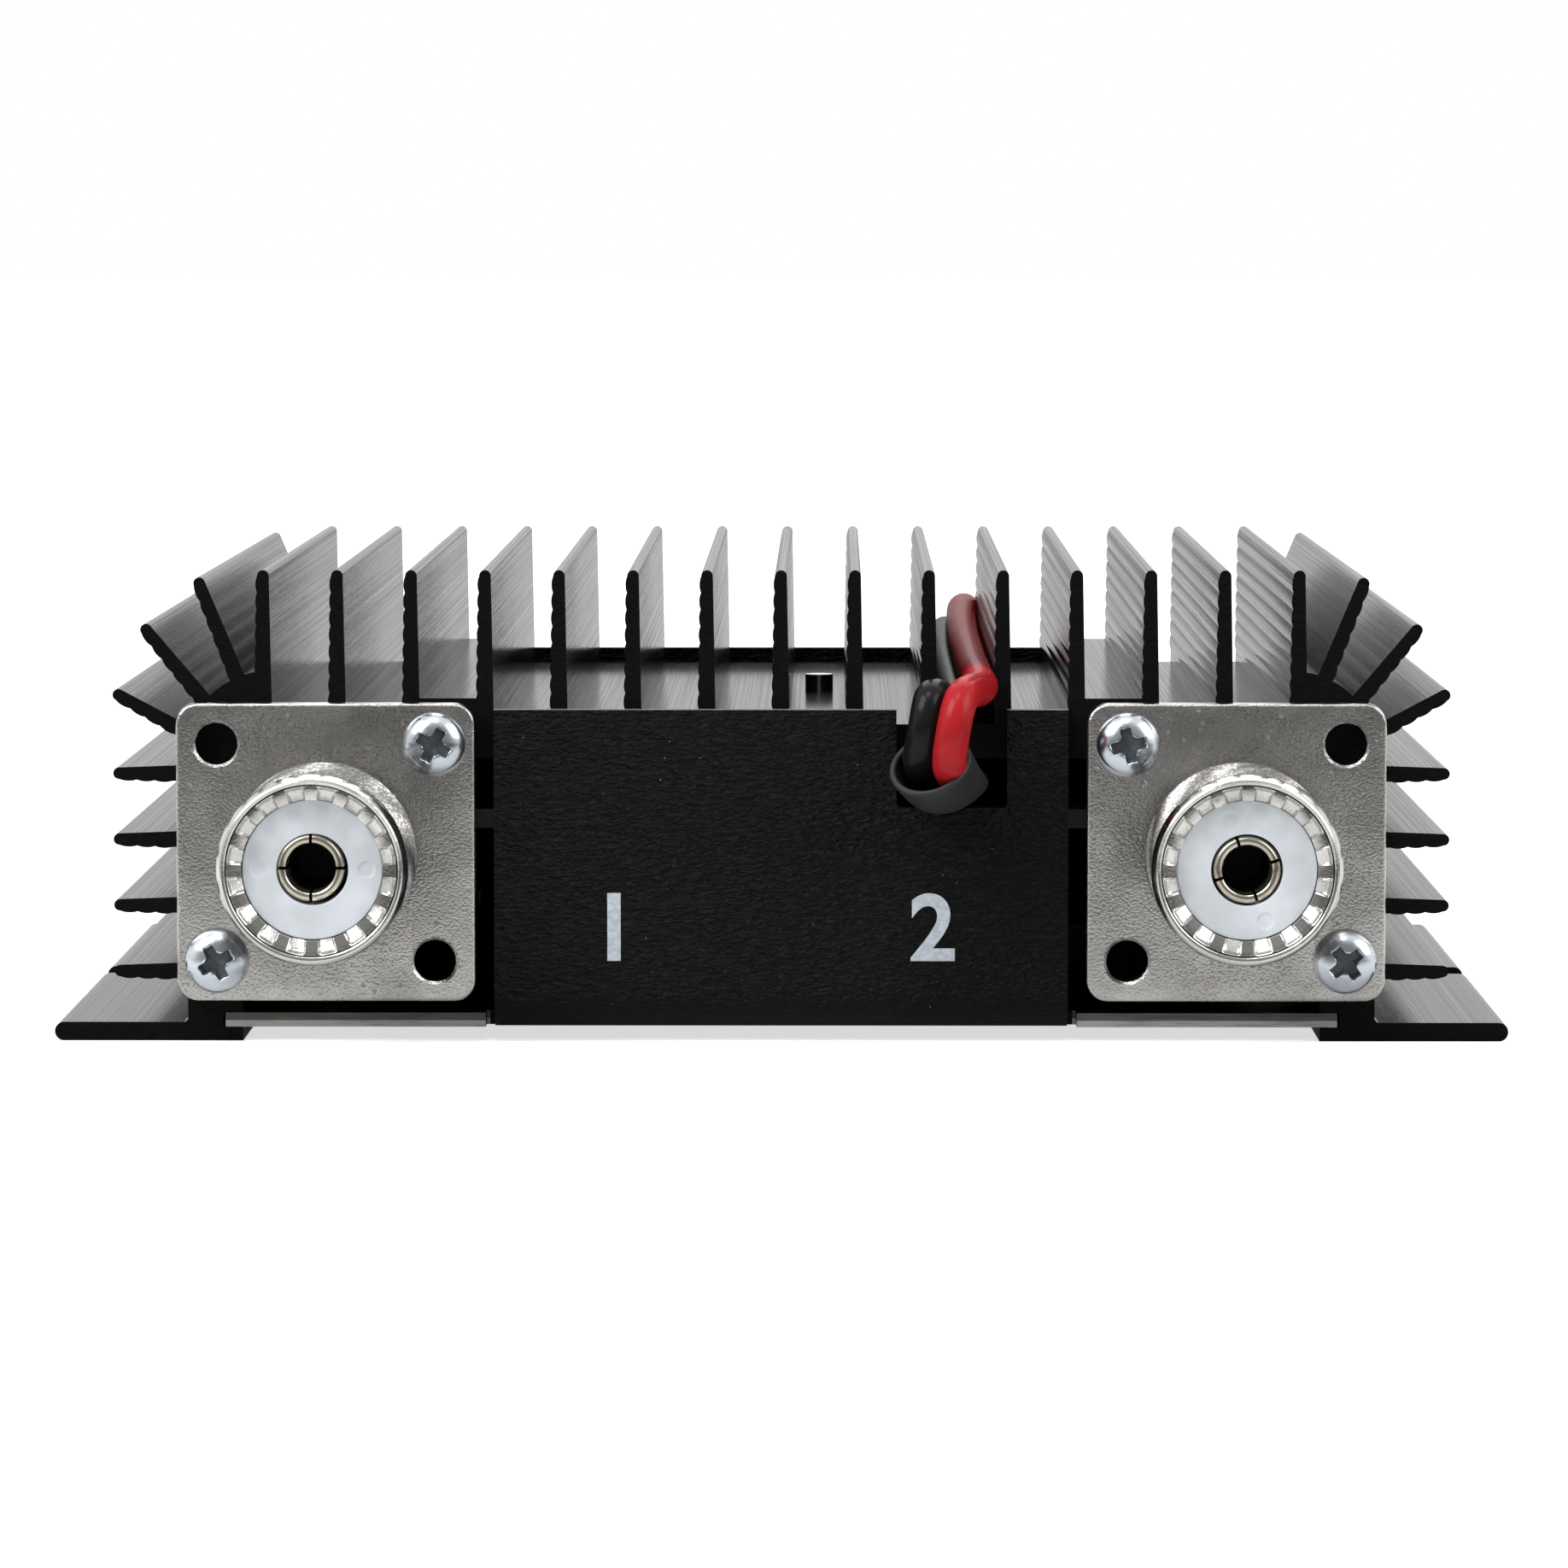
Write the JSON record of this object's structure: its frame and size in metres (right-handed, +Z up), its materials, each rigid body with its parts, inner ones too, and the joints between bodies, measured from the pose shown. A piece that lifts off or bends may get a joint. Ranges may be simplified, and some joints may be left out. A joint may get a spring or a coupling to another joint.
{
  "type": "radio amplifier",
  "caption": "Compact radio amplifier: black finned aluminium housing on slotted feet, threaded coaxial sockets and a red and black supply lead behind, rocker switches and lamps in front.",
  "frame": {"origin": "middle between the two mounting slots, on the plane that the feet stand on", "axes": "+X to the right along the sockets seen from behind them, +Y from the sockets to the switches, +Z up"},
  "size_m": [0.124, 0.1844, 0.0402],
  "materials": {
    "black_anodised": "black anodised extrusion",
    "wrinkle_paint": "fine wrinkle paint",
    "socket_nickel": "nickel plated casting",
    "contact_plating": "plated",
    "insulator_white": "moulded",
    "zinc_steel": "zinc plated",
    "board_laminate": "lacquered",
    "spacer_brass": "turned",
    "moulded_case": "moulded",
    "rocker_plastic": "moulded",
    "pad_grey": "silicone",
    "relay_case": "moulded",
    "can_sleeve": "shrunk sleeve",
    "copper_wire": "enamelled copper",
    "ceramic_coat": "dipped",
    "resistor_coat": "lacquered",
    "holder_chrome": "polished",
    "red_lens": "clear moulded",
    "green_lens": "clear moulded",
    "sleeve_rubber": "soft",
    "lead_black": "smooth",
    "lead_red": "smooth",
    "tie_nylon": "moulded",
    "tinned_copper": "tinned",
    "ferrite": "pressed and fired"
  },
  "bodies": {
    "chassis": {"heatsink": "black_anodised", "bottom_cover": "wrinkle_paint", "front_panel": "wrinkle_paint", "front_panel_screws": "zinc_steel", "cover_screws": "zinc_steel", "socket_screws": "zinc_steel", "circuit_board": "board_laminate", "board_spacers": "spacer_brass", "board_screws": "zinc_steel", "power_transistor": "moulded_case", "thermal_pad": "pad_grey", "transistor_screw": "zinc_steel", "changeover_relay": "relay_case", "electrolytic_capacitors": "can_sleeve", "supply_choke": "copper_wire", "ceramic_capacitors": "ceramic_coat", "resistors": "resistor_coat", "lamp_holders": "holder_chrome", "power_lamp": "red_lens", "transmit_lamp": "green_lens", "cord_sleeve": "sleeve_rubber", "inner_leads": "lead_black", "power_cord": "lead_black", "cord_coil": "lead_black", "coil_tie": "tie_nylon", "red_lead_end": "lead_red", "black_lead_end": "lead_black", "lead_tips": "tinned_copper", "input_socket_body": "socket_nickel", "input_socket_insulator": "insulator_white", "input_socket_contact": "contact_plating", "output_socket_body": "socket_nickel", "output_socket_insulator": "insulator_white", "output_socket_contact": "contact_plating", "input_transformer_core": "ferrite", "input_transformer_winding": "copper_wire", "output_transformer_core": "ferrite", "output_transformer_winding": "copper_wire", "power_switch_body": "moulded_case", "mode_switch_body": "moulded_case"},
    "power_rocker": {"power_switch_rocker": "rocker_plastic"},
    "mode_rocker": {"mode_switch_rocker": "rocker_plastic"}
  },
  "joints": [
    {"name": "power_rocker_tilt", "type": "hinge", "parent": "chassis", "child": "power_rocker", "pos_m": [-0.036, 0.04165, 0.0132], "axis": [1, 0, 0], "range_deg": [0, 22]},
    {"name": "mode_rocker_tilt", "type": "hinge", "parent": "chassis", "child": "mode_rocker", "pos_m": [-0.02, 0.04165, 0.0132], "axis": [1, 0, 0], "range_deg": [0, 22]}
  ]
}
